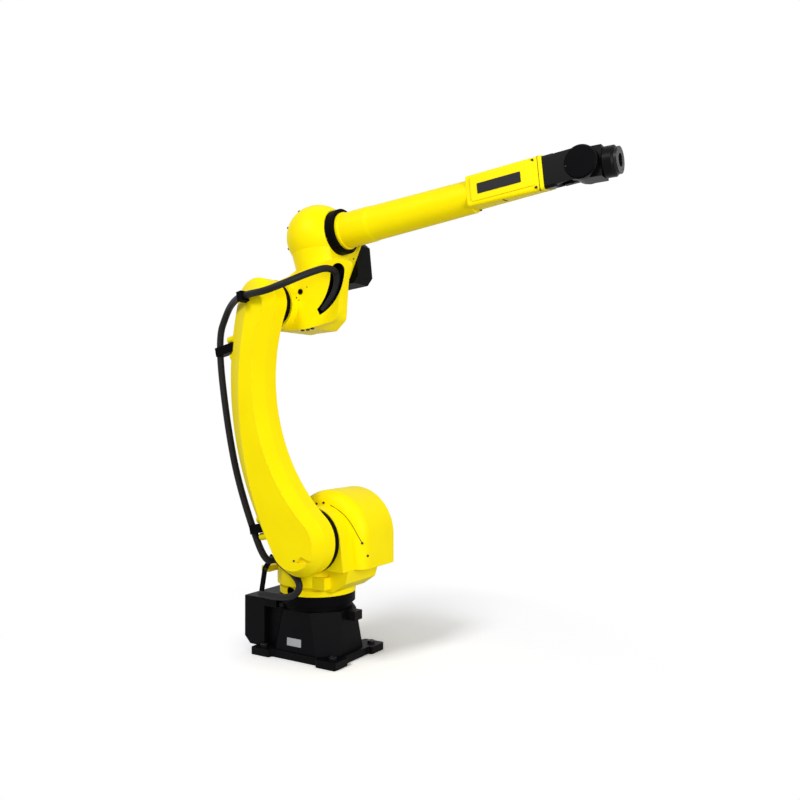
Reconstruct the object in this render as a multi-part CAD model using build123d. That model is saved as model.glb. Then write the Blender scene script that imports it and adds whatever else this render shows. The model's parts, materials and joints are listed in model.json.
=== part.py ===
from build123d import *
import os
from math import radians, sqrt, tan

os.makedirs("parts", exist_ok=True)

# Six-axis jointed arm on a bolted foot, drawn in the posture of its picture.
# Origin on the floor under the waist axis, +X ahead of the arm, +Z up, millimetres.

# Axis layout and posture
shoulder_offset = 75.0
shoulder_height = 425.0
lower_link = 840.0
forearm_rise = 235.0
forearm_length = 1140.0
arm_lean_deg = -12.7
forearm_lift_deg = 6.0
elbow_taper_deg = 40.0
tool_dip_deg = 1.0

# Fits
running_gap = 0.3
pivot_clearance = 0.05
swing_gap = 5.0
overrun = 5.0

# Foot and base casting
foot_length = 372.0
foot_width = 301.0
foot_thickness = 26.0
foot_lug_length = 84.0
foot_lug_width = 78.0
foot_waist = 16.0
foot_corner = 7.0
foot_hole_edge = 34.0
foot_hole_radius = 9.0
base_top = 170.0
base_low_length = 300.0
base_low_width = 256.0
base_low_corner = 62.0
base_high_length = 272.0
base_high_width = 244.0
base_high_corner = 78.0
base_rear = 150.0
base_rear_width = 190.0
stopper_reach = 178.0
stopper_width = 44.0
stopper_height = 32.0
box_rear = 242.0
box_width = 240.0
box_height = 198.0
box_bevel = 26.0
ledge_front = 95.0
ledge_inner = 102.0
ledge_thickness = 26.0

# Waist ring and turret
ring_low_radius = 124.0
ring_high_radius = 134.0
ring_step = 190.0
ring_top = 225.0
waist_pivot_radius = 96.0
waist_pivot_depth = 34.0
turret_flange_radius = 136.0
turret_flange_height = 20.0
turret_bowl_radius = 145.0
turret_deck = 325.0
turret_bowl_bevel = 14.0
shelf_half_width = 92.0
shelf_low_reach = 138.0
shelf_mid_reach = 186.0
shelf_mid_height = 278.0
shelf_reach = 200.0
port_radius = 18.0
port_depth = 46.0
port_set_back = 16.0
port_height = 239.0
pad_rear = 69.0
pad_front = 124.0
pad_low = 256.0
pad_high = 298.0
boss_radius = 115.0
boss_face = 126.0
boss_back = 60.0
web_rear = 104.0
web_front = 128.0
hood_radius = 164.0
hood_far = 132.0
hood_near_round = 42.0
hood_round = 24.0

# Lower arm
arm_inner = 150.0
arm_bevel_start = 205.0
arm_outer = 265.0
arm_low_radius = 113.0
arm_high_radius = 88.0
arm_rear_bow_share = 1.22
arm_front_bow_share = 0.737
face_low_radius = 86.0
face_low_shift = 18.0
face_high_radius = 34.0
face_high_shift = 38.0
face_high_drop = 24.0
face_rear_bow_share = 1.262
face_front_bow_share = 0.762
notch_apex_ahead = 49.0
notch_apex_drop = 43.0
notch_rear_ahead = 21.0
notch_rear_drop = 60.0
notch_front_ahead = 90.0
notch_front_drop = 68.0
notch_depth = 10.0
shoulder_pivot_radius = 60.0
shoulder_ring_radius = 111.0
pivot_depth = 18.0
elbow_pivot_radius = 44.0

# Elbow casting
elbow_boss_radius = 90.0
elbow_boss_face = 122.0
elbow_boss_back = 98.0
elbow_ring_radius = 82.0
elbow_near_depth = 90.0
elbow_far_depth = 85.0
elbow_belly = 101.0
elbow_belly_reach = 110.0
elbow_chin_reach = 256.0
elbow_chin_drop = 93.0
elbow_chin_round = 50.0
elbow_front_rim = 29.0
elbow_front_drop = 14.0
elbow_front_round = 60.0
elbow_brow_rim = 55.0
elbow_brow_rise = 100.0
elbow_brow_round = 16.0
elbow_neck_front = 262.0
elbow_neck_front_rise = 122.0
elbow_neck_rear = 96.0
elbow_neck_rear_rise = 104.0
elbow_face_depth = 24.0
elbow_taper_depth = 56.0
core_belly_reach = 120.0
core_belly = 96.0
core_chin_reach = 168.0
core_chin_drop = 62.0
core_front_reach = 190.0
core_front_rise = 60.0
core_brow_reach = 205.0
core_brow_rise = 130.0
neck_top_radius = 110.0
neck_top_rise = 215.0
neck_low_radius = 82.0
neck_low_rise = 60.0
dome_radius = 118.0
dome_reach = 140.0
dome_face = 223.0
slot_top_width = 60.0
slot_mid_width = 48.0
slot_end_width = 24.0
slot_crown = 24.0
slot_depth = 22.0
slot_top_reach = 271.0
slot_top_rise = 79.0
slot_mid_reach = 239.0
slot_mid_drop = 1.0
slot_end_reach = 175.0
slot_end_drop = 51.0
motor_pad_rear = 84.0
motor_pad_low = 96.0
motor_pad_low_front = 172.0
motor_pad_high_front = 246.0
motor_pad_high = 222.0
motor_pad_face = 122.0
motor_length = 140.0
motor_height = 164.0
motor_far = 228.0
motor_reach = 142.0
motor_rise = 160.0
motor_bevel = 24.0
plug_radius = 10.0
plug_proud = 3.0
plug_reach = 104.0
plug_rise = 34.0

# Forearm
forearm_ring_radius = 80.0
forearm_ring_length = 32.0
forearm_pivot_radius = 46.0
forearm_pivot_depth = 26.0
collar_flange_radius = 66.0
collar_flange_length = 10.0
collar_radius = 62.0
collar_end = 372.0
tube_start_radius = 60.0
tube_start = 388.0
tube_end_radius = 54.0
head_start = 768.0
head_width = 108.0
head_top = 54.0
head_near_low = 46.0
head_mid_low = 46.0
head_far_low = 30.0
nose_near_low = 56.0
nose_mid_low = 42.0
nose_far_low = 28.0
under_reach = 10.0
head_round = 10.0
cover_length = 214.0
cover_top = 42.0
cover_near_low = 34.0
cover_far_low = 18.0
cover_thickness = 3.0
cover_round = 8.0
cover_inset = 16.0

# Wrist and tool flange
fork_length = 116.0
fork_width = 104.0
fork_top = 50.0
fork_near_low = 53.0
fork_mid_low = 40.0
fork_far_low = 26.0
fork_round = 8.0
fork_root = 82.0
cheek_inner = 34.0
near_cheek_radius = 51.0
near_cheek_height = 92.0
far_cheek_radius = 42.0
far_cheek_height = 56.0
near_cap_radius = 48.0
far_cap_radius = 38.0
cap_thickness = 5.0
wrist_pivot_radius = 24.0
wrist_pivot_depth = 14.0
wrist_hub_radius = 46.0
wrist_neck_length = 58.0
wrist_head_reach = 94.0
wrist_head_radius = 46.0
wrist_head_bevel = 5.0
wrist_swing_deg = 125.0
wrist_swing_shares = [0.84, 0.92, 1.0]
flange_radius = 40.0
flange_thickness = 10.0
flange_bore_radius = 20.0
flange_bore_depth = 30.0
flange_spigot_radius = 28.0
flange_hole_circle_radius = 31.5
flange_hole_radius = 3.3
flange_hole_depth = 8.0
flange_holes = 4

# Hose, its clamps and its support
hose_radius = 12.0
hose_side = 195.0
clamp_length = 32.0
clamp_width = 38.0
clamp_low_along = 74.0
clamp_low_back = 198.0
clamp_high_drop = 122.0
clamp_high_back = 222.0
seat_radius = 13.0
seat_spread = 30.0
seat_low_back = 166.0
seat_high_back = 164.0
seat_root_back = 90.0
clip_rise = 10.0
clip_ahead = 8.0
clip_proud = 20.0
clip_length = 22.0
clip_width = 34.0
clip_wall = 4.0
strip_side = 132.0
strip_thickness = 5.0
strip_width = 19.0
strip_foot_back = 152.0
strip_foot_height = 210.0
strip_knee_back = 134.0
strip_knee_height = 306.0
strip_tip_back = 98.0
strip_tip_height = 356.0
strip_lug_depth = 80.0
strip_lug_length = 34.0
strip_lug_height = 20.0
strip_lug_proud = 8.0

# Hose route: places on the turret, on the lower arm (ahead, along, out to the side) and on the elbow
turret_route = [
    (-142, -149.3, 218), (-80, -157, 222), (-8, -172, 225), (44, -172, 244), (54, -168, 280), (16, -160, 310),
    (-34, -158, 334), (-66, -152, 352)]
arm_route = [
    (-190, 40, hose_side), (-230, 210, hose_side), (-240, 460, hose_side),
    (-218, lower_link - 75, hose_side), (-150, lower_link + 10, 198), (-75, lower_link + 24, arm_bevel_start + 33),
    (10, lower_link + 14, arm_outer + 21), (80, lower_link + 2, arm_outer + 27)]
loop_route = [(190, 24, arm_outer + 15), (240, 58, 212), (270, 86, 130)]
slot_route_shares = [0.08, 0.3, 0.6, 0.92]
slot_route_sides = [91, 80, 79, 79]
lead_share = 0.5
mouth_share = 0.8
bend_run_share = 0.45


# The three side directions of the posture, and the axis points that they lead to
level = Vector(1, 0, 0)
arm_ahead = level.rotate(Axis.Y, arm_lean_deg)
arm_up = Vector(0, 0, 1).rotate(Axis.Y, arm_lean_deg)
fore_ahead = level.rotate(Axis.Y, -forearm_lift_deg)
fore_up = Vector(0, 0, 1).rotate(Axis.Y, -forearm_lift_deg)
tool_ahead = level.rotate(Axis.Y, -tool_dip_deg)
shoulder = Vector(shoulder_offset, 0, shoulder_height)
elbow = shoulder + arm_up * lower_link
forearm_foot = elbow + fore_up * forearm_rise
wrist = forearm_foot + fore_ahead * forearm_length
head_end = forearm_length - fork_length


def side_plane(origin, ahead):
    # Sketch plane of the side view: x ahead, y up, z out towards the side that carries the lower arm
    return Plane(origin=origin, x_dir=ahead, z_dir=(0, -1, 0))


floor_side = side_plane(Vector(0, 0, 0), level)
turret_side = side_plane(shoulder, level)
arm_side = side_plane(shoulder, arm_ahead)
elbow_side = side_plane(elbow, fore_ahead)
fore_side = side_plane(forearm_foot, fore_ahead)
wrist_side = side_plane(wrist, fore_ahead)
tool_side = side_plane(wrist, tool_ahead)


def slab(plane, sketch, near, far):
    # A side view profile between two distances from the middle of the arm
    return extrude(plane.offset(near) * sketch, far - near)


def turned(plane, start, end, radius):
    # A round bar along the x direction of a side plane
    across = Plane(origin=plane.from_local_coords((start, 0, 0)), z_dir=plane.x_dir)
    return extrude(across * Circle(radius), end - start)


def upright(radius, low, high):
    return extrude(Plane.XY.offset(low) * Circle(radius), high - low)


def corner_cut_outline(length, width, corner):
    return chamfer(Rectangle(length, width).vertices(), corner)


def circle_meet(first, first_reach, second, second_reach, side):
    # The point at two given distances from two centres, on the chosen side of the line between them
    line = second - first
    apart = line.length
    along = (apart ** 2 + first_reach ** 2 - second_reach ** 2) / (2 * apart)
    off = sqrt(first_reach ** 2 - along ** 2)
    ahead = line.normalized()
    across = Vector(ahead.Y, -ahead.X)
    return first + ahead * along + across * (off * side)


def bow_outline(low, low_radius, high, high_radius, rear_share, front_share):
    # Two round ends joined by a bulging rear arc and a hollow front arc, all tangent
    rear_radius = lower_link * rear_share
    front_radius = lower_link * front_share
    rear = circle_meet(low, rear_radius - low_radius, high, rear_radius - high_radius, 1)
    front = circle_meet(low, front_radius + low_radius, high, front_radius + high_radius, 1)
    rear_low = rear + (low - rear).normalized() * rear_radius
    rear_high = rear + (high - rear).normalized() * rear_radius
    rear_mid = rear + (rear_low + rear_high - rear * 2).normalized() * rear_radius
    front_low = front + (low - front).normalized() * front_radius
    front_high = front + (high - front).normalized() * front_radius
    front_mid = front + (front_low + front_high - front * 2).normalized() * front_radius
    down = (low - high).normalized()
    edges = [
        ThreePointArc(front_low, low + down * low_radius, rear_low),
        ThreePointArc(rear_low, rear_mid, rear_high),
        ThreePointArc(rear_high, high - down * high_radius, front_high),
        ThreePointArc(front_high, front_mid, front_low),
    ]
    return make_face(edges)


def make_foot():
    body = Rectangle(foot_length - 2 * foot_waist, foot_width - 2 * foot_waist)
    lug = Rectangle(foot_lug_length, foot_lug_width)
    reach_x = (foot_length - foot_lug_length) / 2
    reach_y = (foot_width - foot_lug_width) / 2
    for place in GridLocations(2 * reach_x, 2 * reach_y, 2, 2):
        body += place * lug
    plate = extrude(body, foot_thickness)
    plate = fillet(plate.edges().filter_by(Axis.Z), foot_corner)
    hole = Cylinder(foot_hole_radius, 2 * (foot_thickness + overrun))
    spacing_x = foot_length - 2 * foot_hole_edge
    spacing_y = foot_width - 2 * foot_hole_edge
    for place in GridLocations(spacing_x, spacing_y, 2, 2):
        plate -= place * hole
    return plate


def connector_block():
    bottom = foot_thickness
    outline = Polygon(
        (-base_rear, bottom), (-base_rear, box_height), (-box_rear, box_height),
        (-box_rear, bottom + box_bevel), (-box_rear + box_bevel, bottom), align=None)
    return slab(floor_side, outline, -box_width / 2, box_width / 2)


def make_base_casting():
    low = Plane.XY.offset(foot_thickness) * corner_cut_outline(base_low_length, base_low_width, base_low_corner)
    high = Plane.XY.offset(base_top) * corner_cut_outline(base_high_length, base_high_width, base_high_corner)
    body = loft([low, high], ruled=True)
    rear = Box(base_rear, base_rear_width, base_top - foot_thickness, align=(Align.MAX, Align.CENTER, Align.MIN))
    stopper = Box(stopper_reach, stopper_width, stopper_height, align=(Align.MIN, Align.CENTER, Align.MAX))
    body += Pos(0, 0, foot_thickness) * rear
    body += Pos(0, 0, base_top) * stopper
    well = upright(waist_pivot_radius, ring_top - waist_pivot_depth - overrun, base_top + overrun)
    return body - well - connector_block()


def make_connector_box():
    ledge = Polygon(
        (-base_rear, base_top), (-ledge_front, base_top),
        (-ledge_front, base_top + ledge_thickness), (-base_rear, base_top + ledge_thickness), align=None)
    return connector_block() + slab(floor_side, ledge, ledge_inner, box_width / 2)


def make_waist_ring():
    ring = upright(ring_low_radius, base_top, ring_step) + upright(ring_high_radius, ring_step, ring_top)
    return ring - upright(waist_pivot_radius + pivot_clearance, base_top - overrun, ring_top + overrun)


def make_turret_casting():
    bottom = ring_top + running_gap
    bowl_bottom = bottom + turret_flange_height
    body = upright(turret_bowl_radius, bowl_bottom, turret_deck)
    body = chamfer(body.edges().sort_by(Axis.Z)[0], turret_bowl_bevel)
    body += upright(turret_flange_radius, bottom, bowl_bottom)
    shelf = Polygon(
        (0, bowl_bottom), (shelf_low_reach, bowl_bottom), (shelf_mid_reach, shelf_mid_height),
        (shelf_reach, turret_deck), (0, turret_deck), align=None)
    body += slab(floor_side, shelf, -shelf_half_width, shelf_half_width)
    web = Polygon(
        (-web_rear, turret_deck - shoulder_height), (web_front, turret_deck - shoulder_height),
        (boss_radius, 0), (-boss_radius, 0), align=None)
    body += slab(turret_side, Circle(boss_radius) + web, boss_back, boss_face)
    body += upright(waist_pivot_radius, ring_top - waist_pivot_depth, bottom)
    pad = Polygon((pad_rear, pad_low), (pad_front, pad_low), (pad_front, pad_high), (pad_rear, pad_high), align=None)
    body += slab(floor_side, pad, boss_back, boss_face)
    lug_rear = strip_knee_back + strip_width / 2 + strip_lug_proud
    lug = Pos(strip_lug_length / 2 - lug_rear, strip_knee_height) * Rectangle(strip_lug_length, strip_lug_height)
    body += slab(floor_side, lug, strip_side - strip_lug_depth, strip_side)
    scallop = Circle(arm_low_radius + swing_gap)
    body -= slab(turret_side, scallop, boss_face, boss_face + turret_bowl_radius)
    port = Pos(-port_set_back, port_height) * Circle(port_radius)
    body -= slab(floor_side, port, turret_bowl_radius - port_depth, turret_bowl_radius + overrun)
    socket = Circle(shoulder_pivot_radius + pivot_clearance)
    return body - slab(turret_side, socket, boss_face - pivot_depth, boss_face + overrun)


def make_motor_hood():
    drop = shoulder_height - turret_deck
    crown = Circle(hood_radius)
    skirt = Polygon((0, -drop), (hood_radius, -drop), (hood_radius, 0), (0, 0), align=None)
    keep = Pos(0, hood_radius - drop) * Rectangle(4 * hood_radius, 2 * hood_radius)
    hood = slab(turret_side, (crown + skirt) & keep, -hood_far, boss_back)
    for face, radius in ((hood.faces().sort_by(Axis.Y)[-1], hood_round), (hood.faces().sort_by(Axis.Y)[0], hood_near_round)):
        # The bottom edge of each end stays sharp, because it lies on the deck
        hood = fillet(face.edges().sort_by(Axis.Z)[1:], radius)
    return hood


def make_shoulder_ring():
    ring = slab(turret_side, Circle(shoulder_ring_radius), boss_face, arm_inner - running_gap)
    bore = Circle(shoulder_pivot_radius + pivot_clearance)
    return ring - slab(turret_side, bore, boss_face - overrun, arm_inner)


def rear_post(along, back):
    # A round seat that stands out from the rear of the lower arm
    start = arm_side.from_local_coords((-seat_root_back, along, hose_side))
    return extrude(Plane(origin=start, z_dir=-arm_ahead) * Circle(seat_radius), back - seat_root_back)


def make_lower_arm():
    low = Vector(0, 0)
    high = Vector(0, lower_link)
    full = bow_outline(low, arm_low_radius, high, arm_high_radius, arm_rear_bow_share, arm_front_bow_share)
    face_low = Vector(face_low_shift, 0)
    face_high = Vector(face_high_shift, lower_link - face_high_drop)
    face = bow_outline(face_low, face_low_radius, face_high, face_high_radius, face_rear_bow_share, face_front_bow_share)
    body = slab(arm_side, full, arm_inner, arm_bevel_start)
    body += loft([arm_side.offset(arm_bevel_start) * full, arm_side.offset(arm_outer) * face], ruled=True)
    for along, back in ((clamp_low_along, seat_low_back), (lower_link - clamp_high_drop, seat_high_back)):
        for spread in (-seat_spread, seat_spread):
            body += rear_post(along + spread, back)
    body += slab(arm_side, Circle(shoulder_pivot_radius), boss_face - pivot_depth + running_gap, arm_inner)
    # A small facet at the lower end of the outer face
    facet = Polygon(
        (notch_rear_ahead, -notch_rear_drop), (notch_front_ahead, -notch_front_drop),
        (notch_apex_ahead, -notch_apex_drop), align=None)
    body -= slab(arm_side, facet, arm_outer - notch_depth, arm_outer + overrun)
    socket = Pos(0, lower_link) * Circle(elbow_pivot_radius + pivot_clearance)
    return body - slab(arm_side, socket, arm_inner - overrun, arm_inner + pivot_depth)


def make_elbow_ring():
    ring = slab(elbow_side, Circle(elbow_ring_radius), elbow_boss_face, arm_inner - running_gap)
    return ring - slab(elbow_side, Circle(elbow_pivot_radius), elbow_boss_face - overrun, arm_inner)


def round_corner(sketch, corner, radius):
    return fillet(sketch.vertices().sort_by_distance(corner)[0], radius)


def elbow_face_outline():
    chin = (elbow_chin_reach, -elbow_chin_drop)
    front = (slot_mid_reach + elbow_front_rim, -elbow_front_drop)
    brow = (slot_top_reach + elbow_brow_rim, elbow_brow_rise)
    shape = Polygon(
        (0, -elbow_boss_radius), (elbow_belly_reach, -elbow_belly), chin, front, brow,
        (elbow_neck_front, elbow_neck_front_rise), (elbow_neck_rear, elbow_neck_rear_rise),
        (0, elbow_boss_radius), align=None)
    shape = round_corner(shape, chin, elbow_chin_round)
    shape = round_corner(shape, front, elbow_front_round)
    return round_corner(shape, brow, elbow_brow_round)


def elbow_core_outline():
    chin = (core_chin_reach, -core_chin_drop)
    front = (core_front_reach, core_front_rise)
    shape = Polygon(
        (0, -elbow_boss_radius), (core_belly_reach, -core_belly), chin, front, (core_brow_reach, core_brow_rise),
        (elbow_neck_rear, core_brow_rise), (0, elbow_boss_radius), align=None)
    return round_corner(shape, chin, elbow_chin_round / 2)


def slot_arc():
    return ThreePointArc(
        (slot_top_reach, slot_top_rise), (slot_mid_reach, -slot_mid_drop), (slot_end_reach, -slot_end_drop))


def slot_edge(side):
    # One long edge of the slot, which narrows towards its end
    middle = slot_arc()
    places = []
    for share, width in ((0, slot_top_width), (0.5, slot_mid_width), (1, slot_end_width)):
        across = (middle % share).rotate(Axis.Z, 90)
        places.append(middle @ share + across * (width / 2 * side))
    return ThreePointArc(*places)


def slot_outline():
    middle = slot_arc()
    first = slot_edge(1)
    second = slot_edge(-1)
    crown = middle @ 0 - (middle % 0) * slot_crown
    ends = [ThreePointArc(second @ 0, crown, first @ 0), Line(first @ 1, second @ 1)]
    return make_face([first, second] + ends)


def neck_section(rise, radius):
    # A round section across the neck that carries the dome
    centre = elbow_side.from_local_coords((dome_reach, rise, 0))
    return Plane(origin=centre, x_dir=fore_ahead, z_dir=fore_up) * Circle(radius)


def make_elbow_casting():
    face_back = elbow_near_depth - elbow_face_depth
    body = slab(elbow_side, elbow_face_outline(), face_back, elbow_near_depth)
    rear = extrude(elbow_side.offset(face_back) * elbow_face_outline(), -elbow_taper_depth, taper=elbow_taper_deg)
    body += rear
    body += slab(elbow_side, elbow_core_outline(), -elbow_far_depth, face_back)
    body += slab(elbow_side, Circle(elbow_boss_radius), -elbow_boss_back, elbow_boss_face)
    dome = Pos(forearm_foot + fore_ahead * dome_reach) * Sphere(dome_radius)
    neck = loft([neck_section(neck_low_rise, neck_low_radius), neck_section(neck_top_rise, neck_top_radius)])
    body += dome + neck
    pad = Polygon(
        (motor_pad_rear, motor_pad_low), (motor_pad_low_front, motor_pad_low), (motor_pad_high_front, motor_pad_high),
        (motor_pad_rear, motor_pad_high), align=None)
    body += slab(elbow_side, pad, -motor_pad_face, 0)
    body -= turned(fore_side, dome_face, dome_face + dome_radius, dome_radius)
    body -= slab(elbow_side, slot_outline(), elbow_near_depth - slot_depth, elbow_near_depth + overrun)
    body -= hose_tube(slot_places(), hose_radius + pivot_clearance)
    body += slab(elbow_side, Circle(elbow_pivot_radius), elbow_boss_face, arm_inner + pivot_depth - running_gap)
    socket = turned(fore_side, dome_face - forearm_pivot_depth, dome_face + overrun, forearm_pivot_radius + pivot_clearance)
    return body - socket


def make_elbow_motor():
    outline = Pos(motor_reach, motor_rise) * Rectangle(motor_length, motor_height)
    body = slab(elbow_side, outline, -motor_far, -motor_pad_face)
    body = chamfer(body.edges().filter_by(Axis.Y), motor_bevel)
    return chamfer(body.faces().sort_by(Axis.Y)[-1].edges(), motor_bevel / 2)


def make_elbow_plug():
    disc = Pos(plug_reach, plug_rise) * Circle(plug_radius)
    return slab(elbow_side, disc, elbow_near_depth, elbow_near_depth + plug_proud)


def make_forearm_ring():
    ring = turned(fore_side, dome_face, dome_face + forearm_ring_length, forearm_ring_radius)
    return ring - turned(
        fore_side, dome_face - overrun, dome_face + forearm_ring_length + overrun, forearm_pivot_radius + pivot_clearance)


def head_section(along, width, top, lows, corner):
    # A section across the head, whose underside rises towards the far side
    near_low, mid_low, far_low = lows
    across = Plane(origin=fore_side.from_local_coords((along, 0, 0)), x_dir=(0, 1, 0), z_dir=fore_ahead)
    outline = Polygon(
        (-width / 2, -near_low), (under_reach, -mid_low), (width / 2, -far_low), (width / 2, top),
        (-width / 2, top), align=None)
    return across * fillet(outline.vertices(), corner)


def make_forearm():
    start = dome_face + forearm_ring_length + running_gap
    flange_end = start + collar_flange_length
    profile = Polygon(
        (start, 0), (start, collar_flange_radius), (flange_end, collar_flange_radius), (flange_end, collar_radius),
        (collar_end, collar_radius), (tube_start, tube_start_radius), (head_start, tube_end_radius),
        (head_start, 0), align=None)
    body = revolve(fore_side * profile, Axis(forearm_foot, fore_ahead))
    head = loft([
        head_section(head_start, head_width, head_top, (head_near_low, head_mid_low, head_far_low), head_round),
        head_section(head_end, head_width, head_top, (nose_near_low, nose_mid_low, nose_far_low), head_round)])
    body += head
    return body + turned(fore_side, dome_face - forearm_pivot_depth + running_gap, start, forearm_pivot_radius)


def make_side_cover(side, low):
    centre = Pos(head_start + cover_inset + cover_length / 2, (cover_top - low) / 2)
    outline = centre * RectangleRounded(cover_length, cover_top + low, cover_round)
    inner = head_width / 2 * side
    return slab(fore_side, outline, inner, inner + cover_thickness * side)


def bent_head(turn_deg):
    # The room that the head of the wrist takes when the wrist is bent
    bent_side = side_plane(wrist, fore_ahead.rotate(Axis.Y, turn_deg))
    reach = wrist_head_reach + swing_gap
    return turned(bent_side, wrist_neck_length - swing_gap, reach, wrist_head_radius + swing_gap)


def make_wrist_fork():
    root_end = forearm_length - fork_root
    root = head_section(head_end, fork_width, fork_top, (fork_near_low, fork_mid_low, fork_far_low), fork_round)
    body = extrude(root, root_end - head_end, dir=fore_ahead)
    hole = Circle(wrist_pivot_radius + pivot_clearance)
    cheeks = ((1, near_cheek_radius, near_cheek_height), (-1, far_cheek_radius, far_cheek_height))
    for side, radius, height in cheeks:
        cheek = Circle(radius) + Pos(-fork_root / 2, 0) * Rectangle(fork_root, height)
        inner = cheek_inner * side
        outer = fork_width / 2 * side
        body += slab(wrist_side, cheek, inner, outer)
        body -= slab(wrist_side, hole, inner - overrun * side, inner + wrist_pivot_depth * side)
    for share in wrist_swing_shares:
        body -= bent_head(wrist_swing_deg * share) + bent_head(-wrist_swing_deg * share)
    return body


def make_wrist_cap(side, radius):
    outer = fork_width / 2 * side
    cap = slab(wrist_side, Circle(radius), outer, outer + cap_thickness * side)
    return chamfer(cap.faces().sort_by(Axis.Y)[0 if side > 0 else -1].edges(), cap_thickness / 2)


def make_wrist_body():
    half = cheek_inner - running_gap
    neck = Pos(wrist_neck_length / 2, 0) * Rectangle(wrist_neck_length, 2 * wrist_hub_radius)
    body = slab(tool_side, Circle(wrist_hub_radius) + neck, -half, half)
    head = turned(tool_side, wrist_neck_length, wrist_head_reach, wrist_head_radius)
    head = chamfer(head.edges(), wrist_head_bevel)
    body += head
    reach = cheek_inner + wrist_pivot_depth - running_gap
    body += slab(tool_side, Circle(wrist_pivot_radius), -reach, reach)
    return body - turned(
        tool_side, wrist_head_reach - flange_bore_depth, wrist_head_reach + overrun, flange_spigot_radius + pivot_clearance)


def make_tool_flange():
    start = wrist_head_reach + running_gap
    face = start + flange_thickness
    body = turned(tool_side, start, face, flange_radius)
    body += turned(tool_side, wrist_head_reach - flange_bore_depth + running_gap, start, flange_spigot_radius)
    body -= turned(tool_side, wrist_head_reach - flange_bore_depth, face + overrun, flange_bore_radius)
    across = Plane(origin=tool_side.from_local_coords((face, 0, 0)), x_dir=(0, 1, 0), z_dir=tool_ahead)
    for place in PolarLocations(flange_hole_circle_radius, flange_holes, start_angle=45):
        body -= extrude(across * place * Circle(flange_hole_radius), -flange_hole_depth)
    return body


def on_arm(places):
    return [arm_side.from_local_coords(Vector(*place)) for place in places]


def beyond(end, before):
    # The next place of a route that leaves its end straight on
    return end + (end - before) * lead_share


def slot_places():
    # The mouth of the slot, then places along the middle of the slot
    arc = slot_arc()
    places = [arc @ share for share in slot_route_shares]
    inside = [
        elbow_side.from_local_coords(Vector(place.X, place.Y, side))
        for place, side in zip(places, slot_route_sides)]
    last = elbow_side.from_local_coords(Vector(*loop_route[-1]))
    return [last + (inside[0] - last) * mouth_share] + inside


def bend_radii(points):
    # Each bend of the hose is as large as the shorter of its two runs allows
    runs = [end - start for start, end in zip(points, points[1:])]
    radii = []
    for before, after in zip(runs, runs[1:]):
        half_turn = radians(before.get_angle(after) / 2)
        radii.append(bend_run_share * min(before.length, after.length) / tan(half_turn))
    return radii


def hose_tube(places, radius=hose_radius):
    points = [Vector(*place) for place in places]
    path = FilletPolyline(*points, radius=bend_radii(points))
    start = Plane(origin=path @ 0, z_dir=path % 0)
    return sweep(start * Circle(radius), path)


def make_hose_lower_loop():
    first, second = on_arm(arm_route[:2])
    return hose_tube(turret_route + [beyond(first, second), first])


def make_hose_arm_run():
    return hose_tube(on_arm(arm_route))


def make_hose_elbow_loop():
    before, last = on_arm(arm_route[-2:])
    middle = [elbow_side.from_local_coords(Vector(*place)) for place in loop_route]
    return hose_tube([last, beyond(last, before)] + middle + slot_places()[:1])


def make_hose_slot_end():
    return hose_tube(slot_places())


def make_clamp(along, back, arm, hose):
    # A cradle from the arm to the middle of the hose
    block = Pos(-back / 2, along) * Rectangle(back, clamp_length)
    clamp = slab(arm_side, block, hose_side - clamp_width / 2, hose_side + clamp_width / 2) - arm - hose
    # Only the piece outside the arm, at the hose, is kept
    return clamp.solids().sort_by_distance(arm_side.from_local_coords((-back, along, hose_side)))[0]


def make_clip(arm, hose):
    outer = arm_outer + clip_proud + hose_radius + clip_wall
    along = lower_link + clip_rise
    block = Pos(clip_ahead, along) * Rectangle(clip_length, clip_width)
    clip = slab(arm_side, block, arm_bevel_start, outer) - arm - hose
    return clip.solids().sort_by_distance(arm_side.from_local_coords((clip_ahead, along, outer)))[0]


def make_hose_strip():
    line = Polyline(
        (-strip_foot_back, strip_foot_height), (-strip_knee_back, strip_knee_height),
        (-strip_tip_back, strip_tip_height))
    return slab(floor_side, trace(line, strip_width), strip_side, strip_side + strip_thickness)


def export(name, shape):
    export_step(shape, f"parts/{name}.step")


lower_arm = make_lower_arm()
hose_arm_run = make_hose_arm_run()

export("base_foot", make_foot())
export("base_casting", make_base_casting())
export("connector_box", make_connector_box())
export("waist_ring", make_waist_ring())
export("turret_casting", make_turret_casting())
export("motor_hood", make_motor_hood())
export("shoulder_ring", make_shoulder_ring())
export("hose_strip", make_hose_strip())
export("hose_lower_loop", make_hose_lower_loop())
export("lower_arm", lower_arm)
export("hose_clamp_low", make_clamp(clamp_low_along, clamp_low_back, lower_arm, hose_arm_run))
export("hose_clamp_high", make_clamp(lower_link - clamp_high_drop, clamp_high_back, lower_arm, hose_arm_run))
export("hose_clip", make_clip(lower_arm, hose_arm_run))
export("hose_arm_run", hose_arm_run)
export("hose_elbow_loop", make_hose_elbow_loop())
export("hose_slot_end", make_hose_slot_end())
export("elbow_ring", make_elbow_ring())
export("elbow_casting", make_elbow_casting())
export("elbow_motor", make_elbow_motor())
export("elbow_plug", make_elbow_plug())
export("forearm_ring", make_forearm_ring())
export("forearm", make_forearm())
export("side_cover_near", make_side_cover(1, cover_near_low))
export("side_cover_far", make_side_cover(-1, cover_far_low))
export("wrist_fork", make_wrist_fork())
export("wrist_cap_near", make_wrist_cap(1, near_cap_radius))
export("wrist_cap_far", make_wrist_cap(-1, far_cap_radius))
export("wrist_body", make_wrist_body())
export("tool_flange", make_tool_flange())
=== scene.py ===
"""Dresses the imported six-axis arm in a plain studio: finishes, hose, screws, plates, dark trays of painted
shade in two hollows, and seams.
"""

import json
import math

import bmesh
import bpy
from mathutils import Matrix, Vector


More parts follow.
